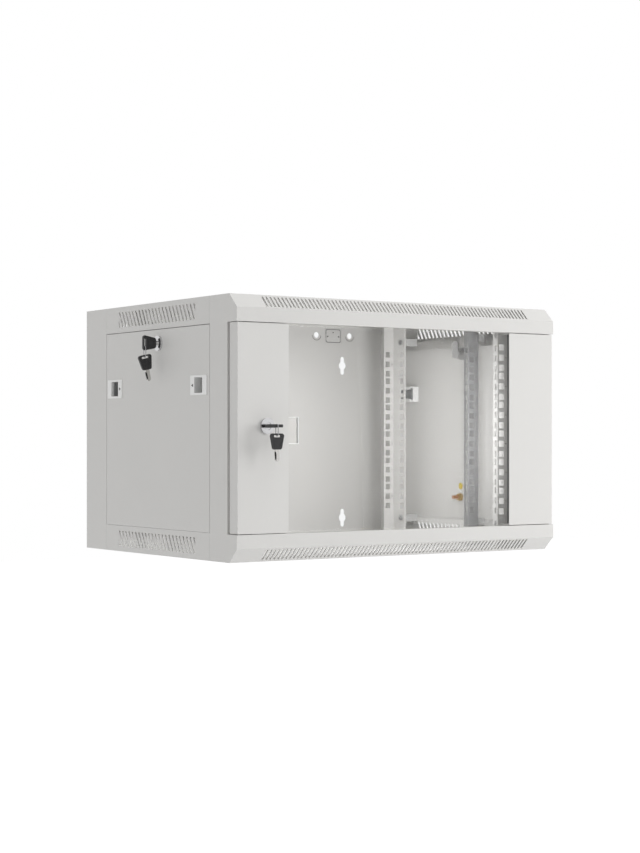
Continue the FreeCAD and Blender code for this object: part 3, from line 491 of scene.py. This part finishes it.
def make_glass():
    """Clear to straight looks, shadow rays and soft light; green at the cut edges."""
    material = bpy.data.materials.new("clear_float_glass")
    material.use_nodes = True
    tree = material.node_tree
    shader = tree.nodes["Principled BSDF"]
    shader.inputs["IOR"].default_value = GLASS_IOR
    shader.inputs["Transmission Weight"].default_value = 1.0
    smears = noise(tree, 6.0, 5, (1, 1, 0.5))
    rough = math_node(tree, "MULTIPLY", smears, SMEAR_DULLING)
    tree.links.new(rough, shader.inputs["Roughness"])
    tint = mix_colour(tree, smears, SMEAR_TINT, CLEAN_TINT)
    place = tree.nodes.new("ShaderNodeTexCoord")
    facing = tree.nodes.new("ShaderNodeSeparateXYZ")
    tree.links.new(place.outputs["Normal"], facing.inputs["Vector"])
    flat = math_node(tree, "ABSOLUTE", facing.outputs["Y"])
    edge = math_node(tree, "LESS_THAN", flat, 0.5)
    tree.links.new(mix_colour(tree, edge, tint, CUT_EDGE_GREEN), shader.inputs["Base Color"])
    rays = tree.nodes.new("ShaderNodeLightPath")
    clear = tree.nodes.new("ShaderNodeBsdfTransparent")
    clear.inputs["Color"].default_value = (*STRAIGHT_TINT, 1)
    choose = tree.nodes.new("ShaderNodeMixShader")
    sides = tree.nodes.new("ShaderNodeNewGeometry")
    slant = tree.nodes.new("ShaderNodeLayerWeight")
    slant.inputs["Blend"].default_value = SLANT_BLEND
    front = math_node(tree, "SUBTRACT", STRAIGHT_SHARE, slant.outputs["Fresnel"], clamp=True)
    through = math_node(tree, "MAXIMUM", sides.outputs["Backfacing"], front)
    through = math_node(tree, "SUBTRACT", through, edge, clamp=True)
    seen = math_node(tree, "MULTIPLY", rays.outputs["Is Camera Ray"], through)
    soft = math_node(tree, "MAXIMUM", rays.outputs["Is Shadow Ray"],
                     rays.outputs["Is Diffuse Ray"])
    soft = math_node(tree, "MAXIMUM", soft, seen)
    tree.links.new(soft, choose.inputs["Fac"])
    tree.links.new(shader.outputs["BSDF"], choose.inputs[1])
    tree.links.new(clear.outputs["BSDF"], choose.inputs[2])
    output = tree.nodes["Material Output"]
    tree.links.new(choose.outputs["Shader"], output.inputs["Surface"])
    return material


finishes["glass"] = make_glass()
print("glass:", finishes["glass"].name)

# %% [markdown]
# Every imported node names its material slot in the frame, so one loop can dress them all. A list
# written by hand would have to be kept in step with the model. Only the small rail brackets
# differ: they share the middle rails' slot, but are a paler passivated zinc.

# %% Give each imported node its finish
pale_zinc = make_finish("pale_passivated_zinc", (0.55, 0.55, 0.54), 0.48, metallic=0.2,
                        swing=0.08, rub_colour=(0.70, 0.70, 0.69), grain=500.0)
slots = {part["node"]: part["material_slot"] for part in frame["record"]["subparts"]}
for name, piece in nodes.items():
    finish = pale_zinc if name.startswith("rail_brackets") else finishes[slots[name]]
    if piece.material_slots:
        for slot in piece.material_slots:
            slot.material = finish
    else:
        piece.data.materials.append(finish)
print(sorted(set(slots.values())))

# %% [markdown]
# ## Small marks that the workshop adds
#
# Each piece below starts as plain points and faces. One helper turns them into an object, gives
# it a finish and lets it ride on a body of the cabinet, so that it moves when a joint moves. The
# other helper makes a closed prism, which most of these thin marks are.

# %% Helpers for a new piece
def new_piece(name, shape, finish, body):
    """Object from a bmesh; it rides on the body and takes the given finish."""
    mesh = bpy.data.meshes.new(name)
    bmesh.ops.recalc_face_normals(shape, faces=shape.faces)
    shape.to_mesh(mesh)
    shape.free()
    mesh.materials.append(finish)
    piece = bpy.data.objects.new(name, mesh)
    bpy.context.scene.collection.objects.link(piece)
    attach(piece, body)
    return piece


def add_prism(shape, outline, depth):
    """Closed prism from a ring of points (vectors), swept along the vector depth."""
    near = [shape.verts.new(point) for point in outline]
    far = [shape.verts.new(Vector(point) + depth) for point in outline]
    shape.faces.new(near)
    shape.faces.new(list(reversed(far)))
    for i in range(len(near)):
        j = (i + 1) % len(near)
        shape.faces.new((near[j], near[i], far[i], far[j]))


ink = make_finish("dark_grey_ink", (0.05, 0.05, 0.052), 0.6, swing=0.2, grain=2000.0)
print("piece helper ready")

# %% [markdown]
# Rack rails carry a small printed tick beside the middle hole of each rack unit, so that an
# installer can count units. A tick repeats along a line, which is what Geometry Nodes are for: a
# mesh line of points, a thin plate on each point, then real geometry with a material.

# %% The tree that prints ticks along a rail
def make_tick_tree():
    """Count plates in a row, one rack unit apart, from Start upwards."""
    tree = bpy.data.node_groups.new("unit_ticks", "GeometryNodeTree")
    inlet = tree.interface.new_socket
    inlet("Count", in_out="INPUT", socket_type="NodeSocketInt").default_value = 6
    inlet("Unit", in_out="INPUT", socket_type="NodeSocketFloat").default_value = 0.04445
    inlet("Start", in_out="INPUT", socket_type="NodeSocketVector")
    inlet("Plate", in_out="INPUT", socket_type="NodeSocketVector")
    inlet("Ink", in_out="INPUT", socket_type="NodeSocketMaterial")
    inlet("Geometry", in_out="OUTPUT", socket_type="NodeSocketGeometry")
    make, link = tree.nodes.new, tree.links.new
    given, result = make("NodeGroupInput"), make("NodeGroupOutput")
    line, plate = make("GeometryNodeMeshLine"), make("GeometryNodeMeshCube")
    step = make("ShaderNodeCombineXYZ")
    place, real = make("GeometryNodeInstanceOnPoints"), make("GeometryNodeRealizeInstances")
    paint = make("GeometryNodeSetMaterial")
    link(given.outputs["Unit"], step.inputs["Z"])
    link(step.outputs["Vector"], line.inputs["Offset"])
    link(given.outputs["Count"], line.inputs["Count"])
    link(given.outputs["Start"], line.inputs["Start Location"])
    link(given.outputs["Plate"], plate.inputs["Size"])
    link(line.outputs["Mesh"], place.inputs["Points"])
    link(plate.outputs["Mesh"], place.inputs["Instance"])
    link(place.outputs["Instances"], real.inputs["Geometry"])
    link(real.outputs["Geometry"], paint.inputs["Geometry"])
    link(given.outputs["Ink"], paint.inputs["Material"])
    link(paint.outputs["Geometry"], result.inputs["Geometry"])
    return tree


def run_tree(name, tree, values):
    """Run a Geometry Nodes tree and return its result as a plain mesh object."""
    host = bpy.data.objects.new(name, bpy.data.meshes.new(name + "_points"))
    bpy.context.scene.collection.objects.link(host)
    modifier = host.modifiers.new("tree", "NODES")
    modifier.node_group = tree
    for item in tree.interface.items_tree:
        if item.in_out == "INPUT" and item.name in values:
            modifier[item.identifier] = values[item.name]
    bpy.context.view_layer.update()
    evaluated = host.evaluated_get(bpy.context.evaluated_depsgraph_get())
    mesh = bpy.data.meshes.new_from_object(evaluated)
    host.modifiers.remove(modifier)
    host.data = mesh
    return host


tick_tree = make_tick_tree()
print(tick_tree.name, len(tick_tree.nodes), "nodes")

# %% [markdown]
# The ticks are printed on the flange that faces the door, just past its holes. The rear pair of
# rails is turned round, with its flange at the back of its box. Print has almost no thickness,
# but a plate of zero thickness would flicker against the steel, so it gets a few hundredths of a
# millimetre, half of them sunk.

# %% Ticks on the six rails
RACK_UNIT = 0.04445
UNITS = 6
RAIL_SHEET = 0.002
TICK_INSET = 0.0165      # from the rail's inner edge
TICK_LENGTH, TICK_HEIGHT = 0.0032, 0.0011
PRINT_THICKNESS = 0.00008
rails_printed = 0
for pair in ("front", "middle", "rear"):
    for side_name, side in (("right", 1), ("left", -1)):
        low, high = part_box(f"{pair}_rail_{side_name}")
        flange_face = high.y - RAIL_SHEET if pair == "rear" else low.y
        inner_edge = low.x if side > 0 else -high.x
        across = side * (inner_edge + TICK_INSET)
        ticks = run_tree(f"{pair}_unit_ticks_{side_name}", tick_tree, {
            "Count": UNITS, "Unit": RACK_UNIT,
            "Start": (across, flange_face - PRINT_THICKNESS / 2,
                      -RACK_UNIT * (UNITS - 1) / 2),
            "Plate": (TICK_LENGTH, PRINT_THICKNESS, TICK_HEIGHT), "Ink": ink})
        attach(ticks, "root")
        rails_printed += 1
print(UNITS * rails_printed, "ticks")

# %% [markdown]
# The rear sheet has half-cut knock-outs around its upper bolt holes. The press leaves a fine
# open line: an oblong between the two holes and a curl under each of them. Such a line could be
# cut into the sheet with a boolean, but it is finer than the sheet's own mesh. Bands between two
# rings of points, laid on the sheet, show the same line and leave the sheet alone. Their dark grey
# is painted shade, the shade inside the open cut.

# %% Helpers for fine lines on a sheet
def ring_band(shape, inner, outer, depth, closed):
    """Band between two rings of points, thickened by the vector depth."""
    pairs = [(i, (i + 1) % len(inner)) for i in range(len(inner) if closed else len(inner) - 1)]
    for i, j in pairs:
        add_prism(shape, [inner[i], inner[j], outer[j], outer[i]], depth)


def arc_points(centre, radius, first, last, steps):
    """Points of an arc in a plane that faces the door; angles in degrees from +X."""
    turns = [math.radians(first + (last - first) * i / steps) for i in range(steps + 1)]
    return [Vector((centre.x + radius * math.cos(a), centre.y,
                    centre.z + radius * math.sin(a))) for a in turns]


def oblong(centre, half_width, half_height, corner):
    """Ring of points of a rounded rectangle in a plane that faces the door."""
    points = []
    for sx, sz, first in ((1, 1, 0), (-1, 1, 90), (-1, -1, 180), (1, -1, 270)):
        pivot = Vector((centre.x + sx * (half_width - corner), centre.y,
                        centre.z + sz * (half_height - corner)))
        points += arc_points(pivot, corner, first, first + 90, 4)
    return points


print("an oblong has", len(oblong(Vector(), 1, 1, 0.5)), "points")

# %% [markdown]
# The lines are placed from the sheet's box by the same distances that place the bolt holes: down
# from the top edge, in from the side, and from hole to hole.

# %% Knock-out lines of the rear sheet
LINE_WIDTH = 0.0008
LINE_DEPTH = 0.0001
REAR_SHEET = 0.0015
BOLT_DROP, BOLT_INSET, BOLT_SPACING = 0.0225, 0.068, 0.0685
OBLONG_HALF_WIDTH, OBLONG_HALF_HEIGHT, OBLONG_CORNER = 0.0145, 0.0105, 0.003
CURL_RADIUS = 0.0085
LOWER_PIP_RADIUS, UPPER_PIP_RADIUS = 0.0014, 0.0012
rear_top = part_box("rear_panel")[1]
bolt_level = rear_top.z - BOLT_DROP
knockouts = bmesh.new()
lift = Vector((0, -LINE_DEPTH, 0))
for side in (-1, 1):
    outer_bolt = side * (rear_top.x - BOLT_INSET)
    inner_bolt = outer_bolt - side * BOLT_SPACING
    middle = Vector(((outer_bolt + inner_bolt) / 2, -REAR_SHEET, bolt_level - 0.001))
    ring_band(knockouts, oblong(middle, OBLONG_HALF_WIDTH, OBLONG_HALF_HEIGHT, OBLONG_CORNER),
              oblong(middle, OBLONG_HALF_WIDTH + LINE_WIDTH, OBLONG_HALF_HEIGHT + LINE_WIDTH,
                     OBLONG_CORNER), lift, True)
    for bolt in (outer_bolt, inner_bolt):
        centre = Vector((bolt, -REAR_SHEET, bolt_level))
        ring_band(knockouts, arc_points(centre, CURL_RADIUS, 185, 355, 16),
                  arc_points(centre, CURL_RADIUS + LINE_WIDTH, 185, 355, 16), lift, False)
    for way in (-1, 1):
        pip = middle + Vector((way * 0.0115, 0, -0.001))
        add_prism(knockouts, arc_points(pip, LOWER_PIP_RADIUS, 0, 330, 11), lift)
    pip = middle + Vector((0, 0, 0.006))
    add_prism(knockouts, arc_points(pip, UPPER_PIP_RADIUS, 0, 330, 11), lift)
# Dark grey lines: painted shade inside the open cut.
cut_line_painted_shade = make_finish("open_cut_painted_shade", (0.10, 0.10, 0.10), 0.8, swing=0.2, grain=2000.0)
new_piece("knockout_lines", knockouts, cut_line_painted_shade, "root")
print("knock-out lines at", round(bolt_level, 4), "m")

# %% [markdown]
# A round yellow sticker marks the earth stud. Here it is a plain disc with darker rings, printed
# on film that stands a tenth of a millimetre off the sheet. A disc with a painted texture would
# look the same from afar, but rings made as real bands need no picture and stay sharp close up.

# %% Sticker above the earth stud
FILM, PRINT = 0.0001, 0.00005
STICKER_RADIUS = 0.0054
STICKER_RISE = 0.015      # from the top of the stud to the middle of the sticker
stud_low, stud_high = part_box("earth_stud")
spot = Vector((stud_high.x - FILM, (stud_low.y + stud_high.y) / 2, stud_high.z + STICKER_RISE))


def disc_points(centre, radius, steps):
    """Points of a circle in the plane of the side panel."""
    turns = [2 * math.pi * i / steps for i in range(steps)]
    return [Vector((centre.x, centre.y + radius * math.cos(a),
                    centre.z + radius * math.sin(a))) for a in turns]


yellow = make_finish("yellow_sticker_film", (0.78, 0.60, 0.08), 0.38, swing=0.06, rub=0.1,
                     grain=1800.0)
olive = make_finish("olive_sticker_rim", (0.30, 0.24, 0.06), 0.42, swing=0.1, rub=0.1,
                    grain=1800.0)
disc = bmesh.new()
add_prism(disc, disc_points(spot, STICKER_RADIUS, 40), Vector((FILM, 0, 0)))
new_piece("earth_sticker", disc, yellow, "right_panel")
rings = bmesh.new()
for inner, outer, steps in ((0.0046, 0.0051, 40), (0.0019, 0.0023, 30), (0.0031, 0.0035, 30)):
    ring_band(rings, disc_points(spot, inner, steps), disc_points(spot, outer, steps),
              Vector((-PRINT, 0, 0)), True)
new_piece("earth_sticker_rings", rings, olive, "right_panel")
print("sticker at", [round(v, 4) for v in spot])

# %% [markdown]
# Beside its finger window each latch bezel has a small moulded arrow, which shows the way to
# slide. It points from the window to the middle of the panel. The arrow is one thin prism of
# three points, because its edges are straight and it is hardly raised.

# %% Arrows on the four bezels
ARROW_TAIL, ARROW_TIP = 0.0145, 0.0195      # from the middle of the bezel
ARROW_HALF_HEIGHT, ARROW_RAISE = 0.0024, 0.00012
arrows = []
for side_name, side in (("left", -1), ("right", 1)):
    for end_name, inward in (("front", 1), ("rear", -1)):
        low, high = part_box(f"{side_name}_{end_name}_latch_bezel")
        face = high.x if side > 0 else low.x
        middle = (low + high) / 2
        tail = middle.y + inward * ARROW_TAIL
        outline = [Vector((face, tail, middle.z - ARROW_HALF_HEIGHT)),
                   Vector((face, middle.y + inward * ARROW_TIP, middle.z)),
                   Vector((face, tail, middle.z + ARROW_HALF_HEIGHT))]
        arrow = bmesh.new()
        add_prism(arrow, outline, Vector((side * ARROW_RAISE, 0, 0)))
        arrows.append(new_piece(f"{side_name}_{end_name}_bezel_arrow", arrow, ink,
                                f"{side_name}_panel"))
print(len(arrows), "arrows")

# %% [markdown]
# The pane is bedded on dark tape behind the right band, and a fine bead of it shows along the
# band's edge. A real bead is pressed out by the band, so it is thickest against the band and
# runs out thin on the glass: a prism of four points has that section. The bead is near black,
# darker than the tape: its colour also paints the shade in the gap between the pane and the band.

# %% Bead along the right band
BEAD_WIDTH, BEAD_DEPTH = 0.0018, 0.0009
BEAD_SHOULDER_ACROSS, BEAD_SHOULDER_DEPTH = 0.3, 0.6      # shares of the width and the depth
glass_low, glass_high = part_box("door_glass")
foot = Vector((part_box("door_right_band")[0].x - BEAD_WIDTH, glass_low.y, glass_low.z))
bead = bmesh.new()
add_prism(bead, [foot, foot + Vector((BEAD_WIDTH, 0, 0)),
                 foot + Vector((BEAD_WIDTH, -BEAD_DEPTH, 0)),
                 foot + Vector((BEAD_WIDTH * BEAD_SHOULDER_ACROSS,
                                -BEAD_DEPTH * BEAD_SHOULDER_DEPTH, 0))],
          Vector((0, 0, glass_high.z - glass_low.z)))
# Near black, darker than the grey tape: the bead's colour also paints the shade in the gap by the
# band.
bead_and_painted_gap_shade = make_finish("bedding_bead_and_painted_gap_shade", (0.035, 0.035, 0.036), 0.6, swing=0.2,
                         grain=2200.0)
new_piece("glass_bead", bead, bead_and_painted_gap_shade, "door")
print("bead", round((glass_high.z - glass_low.z) * 1000), "mm long")

# %% [markdown]
# The notch beside the lock has ground edges. Ground glass scatters light, so it looks white
# where the rest of the pane is clear. Each of the notch's three edges gets a frosted strip on
# the face of the pane, where the sharp corner was ground off, and a thin frosted wall through
# the pane. The glass itself stays one clean solid.

# %% Ground edges of the notch
NOTCH_EDGE_X = -0.183
NOTCH_LOW, NOTCH_HIGH = -0.021, 0.015
GROUND = 0.0009          # width of the frosted strip
FROST = 0.00004          # thickness of the strip
WALL = 0.0002            # thickness of the frosted wall
PROUD = 0.00005          # the strip stands in front of the pane
face_y = glass_low.y - PROUD
band_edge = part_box("door_left_band")[1].x


def on_face(x, z):
    """Point on the front face of the pane."""
    return Vector((x, face_y, z))


frost = Vector((0, FROST, 0))
through = Vector((0, glass_high.y - face_y, 0))
edges = bmesh.new()
for z, way in ((NOTCH_LOW, -1), (NOTCH_HIGH, 1)):
    add_prism(edges, [on_face(band_edge, z), on_face(NOTCH_EDGE_X, z),
                      on_face(NOTCH_EDGE_X + GROUND, z + way * GROUND),
                      on_face(band_edge, z + way * GROUND)], frost)
    add_prism(edges, [on_face(band_edge, z), on_face(NOTCH_EDGE_X, z),
                      on_face(NOTCH_EDGE_X, z - way * WALL),
                      on_face(band_edge, z - way * WALL)], through)
add_prism(edges, [on_face(NOTCH_EDGE_X, NOTCH_LOW), on_face(NOTCH_EDGE_X, NOTCH_HIGH),
                  on_face(NOTCH_EDGE_X + GROUND, NOTCH_HIGH + GROUND),
                  on_face(NOTCH_EDGE_X + GROUND, NOTCH_LOW - GROUND)], frost)
add_prism(edges, [on_face(NOTCH_EDGE_X - WALL, NOTCH_LOW), on_face(NOTCH_EDGE_X, NOTCH_LOW),
                  on_face(NOTCH_EDGE_X, NOTCH_HIGH),
                  on_face(NOTCH_EDGE_X - WALL, NOTCH_HIGH)], through)
ground_glass = make_finish("ground_glass_edge", (0.93, 0.94, 0.93), 0.55, swing=0.03, rub=0.1,
                           grain=2600.0)
new_piece("glass_notch_edges", edges, ground_glass, "door")
print("notch", round((NOTCH_HIGH - NOTCH_LOW) * 1000), "mm high")

# %% [markdown]
# ## Keys
#
# A cam lock key has a moulded bow on a nickel plated blade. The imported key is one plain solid, so
# each is replaced by two pieces: the bow, rounded off at its rim, with a field outlined on both
# faces, and the blade, with ribs and with cuts along one edge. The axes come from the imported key,
# and not from typed angles: its longest spread is its length and its shortest its thickness, and
# the bow is at the end where it is widest.

# %% Find the axes of a packed key
def key_frame(name):
    """Matrix whose Z runs up to the top of the bow and X through the key, and the length."""
    spots = numpy.array([v.co[:] for v in nodes[name].data.vertices])
    centre = (spots.min(axis=0) + spots.max(axis=0)) / 2
    axes = numpy.linalg.eigh(numpy.cov((spots - spots.mean(axis=0)).T))[1]
    thick, across, along = (Vector(axes[:, i]) for i in range(3))
    reach = spots @ numpy.array(along)
    width = numpy.abs((spots - centre) @ numpy.array(across))
    widest = width > width.max() * 0.9
    if reach[widest].mean() < reach.mean():
        along = -along
    across = along.cross(thick)
    local = [(spots @ numpy.array(axis)) for axis in (thick, across, along)]
    top = local[2].max()
    origin = (thick * (local[0].min() + local[0].max()) / 2
              + across * (local[1].min() + local[1].max()) / 2 + along * top)
    turn = Matrix((thick, across, along)).transposed().to_4x4()
    return Matrix.Translation(origin) @ turn, top - local[2].min()


key_bodies = {"door_key": "door_lock", "door_spare_key": "door_spare_key",
              "left_panel_key": "left_panel_lock", "left_spare_key": "left_spare_key"}
for name in key_bodies:
    print(name, "is", round(key_frame(name)[1] * 1000, 1), "mm long")

# %% [markdown]
# The bow is drawn in the key's own frame with its top at zero. It could be cut from a block with
# booleans, but a moulding is easier to build up as it is seen: rings of the same number of
# points, from the slot for the wire out to the rim and back along the other face, with faces
# between them. A fine raised line outlines the field on each face.

# %% Bow of a key
BOW_LENGTH, BOW_WIDTH, BOW_THICKNESS = 0.022, 0.022, 0.0042
SLOT_TOP, SLOT_HEIGHT, SLOT_WIDTH = 0.0022, 0.003, 0.012
SHOULDER = 0.0030         # how far the lower corners of the bow are drawn in
SOFT_EDGE = 0.0006        # width of the rounding between rim and face
RIM_SHARE = 0.55          # the rim's thickness against the face's
COLLAR = 0.0008           # width of the collar round the slot
FIELD_SIDE, FIELD_TOP, FIELD_BOTTOM = 0.0045, 0.0085, 0.004      # in from the bow's edges
FIELD_LINE, FIELD_RAISE = 0.0008, 0.0003


def rounded_ring(half_across, top, bottom, corner, steps, shoulder=0.0):
    """Ring of points in the key's plane; the shoulder draws in the two lower corners."""
    ring = []
    for sign, level, first in ((1, top, 0), (-1, top, 90), (-1, bottom, 180), (1, bottom, 270)):
        inset = shoulder if level == bottom else 0.0
        pivot_y = sign * (half_across - corner - inset)
        pivot_z = level + (corner if level == bottom else -corner)
        for i in range(steps + 1):
            angle = math.radians(first + 90 * i / steps)
            ring.append((pivot_y + corner * math.cos(angle),
                         pivot_z + corner * math.sin(angle)))
    return ring


def make_bow():
    """Closed bow with a rounded rim, a raised line round each field and a through slot."""
    half, steps = BOW_THICKNESS / 2, 5
    slot_bottom = -SLOT_TOP - SLOT_HEIGHT
    slot = rounded_ring(SLOT_WIDTH / 2, -SLOT_TOP, slot_bottom, 0.0009, steps)
    collar = rounded_ring(SLOT_WIDTH / 2 + COLLAR, -SLOT_TOP + COLLAR, slot_bottom - COLLAR,
                          0.0013, steps)
    soft = rounded_ring(BOW_WIDTH / 2 - SOFT_EDGE, -SOFT_EDGE, -BOW_LENGTH + SOFT_EDGE, 0.0031,
                        steps, SHOULDER)
    rim = rounded_ring(BOW_WIDTH / 2, 0.0, -BOW_LENGTH, 0.0035, steps, SHOULDER)
    layers = [(slot, half), (collar, half), (soft, half), (rim, half * RIM_SHARE),
              (rim, -half * RIM_SHARE), (soft, -half), (collar, -half), (slot, -half)]
    shape = bmesh.new()
    rings = [[shape.verts.new((x, y, z)) for y, z in ring] for ring, x in layers]
    for k, ring in enumerate(rings):
        following = rings[(k + 1) % len(rings)]
        for i in range(len(ring)):
            j = (i + 1) % len(ring)
            shape.faces.new((ring[i], ring[j], following[j], following[i]))
    field, inside = (rounded_ring(BOW_WIDTH / 2 - FIELD_SIDE - inset, -FIELD_TOP - inset,
                                  -BOW_LENGTH + FIELD_BOTTOM + inset, corner, 4, 0.001)
                     for inset, corner in ((0.0, 0.002), (FIELD_LINE, 0.0016)))
    for face in (1, -1):
        ring_band(shape, [Vector((face * half, y, z)) for y, z in field],
                  [Vector((face * half, y, z)) for y, z in inside],
                  Vector((face * FIELD_RAISE, 0, 0)), True)
    return shape


print("bow", BOW_WIDTH * 1000, "mm wide")

# %% [markdown]
# The blade is one flat profile pushed through its thickness. The cuts are small notches of
# different depths along one edge, as a key machine leaves them. Milled grooves on a real blade
# leave two ribs standing on each face, so ribs are added here and nothing has to be cut away.

# %% Blade of a key
BLADE_WIDTH, BLADE_THICKNESS = 0.0066, 0.0019
CUT_DEPTHS = (0.0012, 0.0018, 0.0008, 0.0016, 0.0010)
FIRST_CUT, UNCUT = 0.0028, 0.0055      # below the bow: to the first cut, and all that is uncut
POINT_SLOPE = 0.0026
RIB_PLACES, RIB_WIDTH, RIB_RAISE = (-0.0009, -0.0021), 0.0004, 0.00012


def make_blade(length):
    """Flat blade with cuts on one edge and two ribs on each face."""
    half, wide = BLADE_THICKNESS / 2, BLADE_WIDTH / 2
    root, tip = -BOW_LENGTH + 0.004, -length
    start = -BOW_LENGTH - FIRST_CUT
    pitch = (length - BOW_LENGTH - UNCUT) / len(CUT_DEPTHS)
    edge = [(wide, root)]
    for i, depth in enumerate(CUT_DEPTHS):
        level = start - pitch * i
        edge += [(wide, level), (wide - depth, level - pitch * 0.35),
                 (wide - depth, level - pitch * 0.65)]
    edge += [(wide, start - pitch * len(CUT_DEPTHS)), (wide * 0.35, tip), (-wide * 0.35, tip),
             (-wide, tip + POINT_SLOPE), (-wide, root)]
    shape = bmesh.new()
    add_prism(shape, [Vector((-half, y, z)) for y, z in edge], Vector((BLADE_THICKNESS, 0, 0)))
    bmesh.ops.triangulate(shape, faces=[f for f in shape.faces if len(f.verts) > 4])
    for face in (1, -1):
        x, end = face * half, tip + 0.003
        for y in RIB_PLACES:
            rib = [Vector((x, y, root)), Vector((x, y + RIB_WIDTH, root)),
                   Vector((x, y + RIB_WIDTH, end)), Vector((x, y, end))]
            add_prism(shape, rib, Vector((face * RIB_RAISE, 0, 0)))
    return shape


nickel = make_finish("nickel_key_blade", (0.60, 0.59, 0.57), 0.24, metallic=1.0, swing=0.08,
                     dusty=0.02, grain=600.0, depth=0.000006)
print(len(CUT_DEPTHS), "cuts")

# %% [markdown]
# Bow and blade are made once in the key's frame for each key and moved to its place in the mesh
# itself. Each pair stands in for its packed key and rides on the same body, so that the key in
# the lock turns with the plug and the spare key swings on its wire.

# %% The four keys
for name, body in key_bodies.items():
    place, length = key_frame(name)
    bow, blade = make_bow(), make_blade(length)
    for shape in (bow, blade):
        bmesh.ops.transform(shape, matrix=place, verts=shape.verts)
    bow_piece = new_piece(f"{name}_bow", bow, finishes["black_plastic"], body)
    blade_piece = new_piece(f"{name}_blade", blade, nickel, body)
    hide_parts(name)
    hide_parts(name)
print(len(key_bodies), "keys, each a bow and a blade")
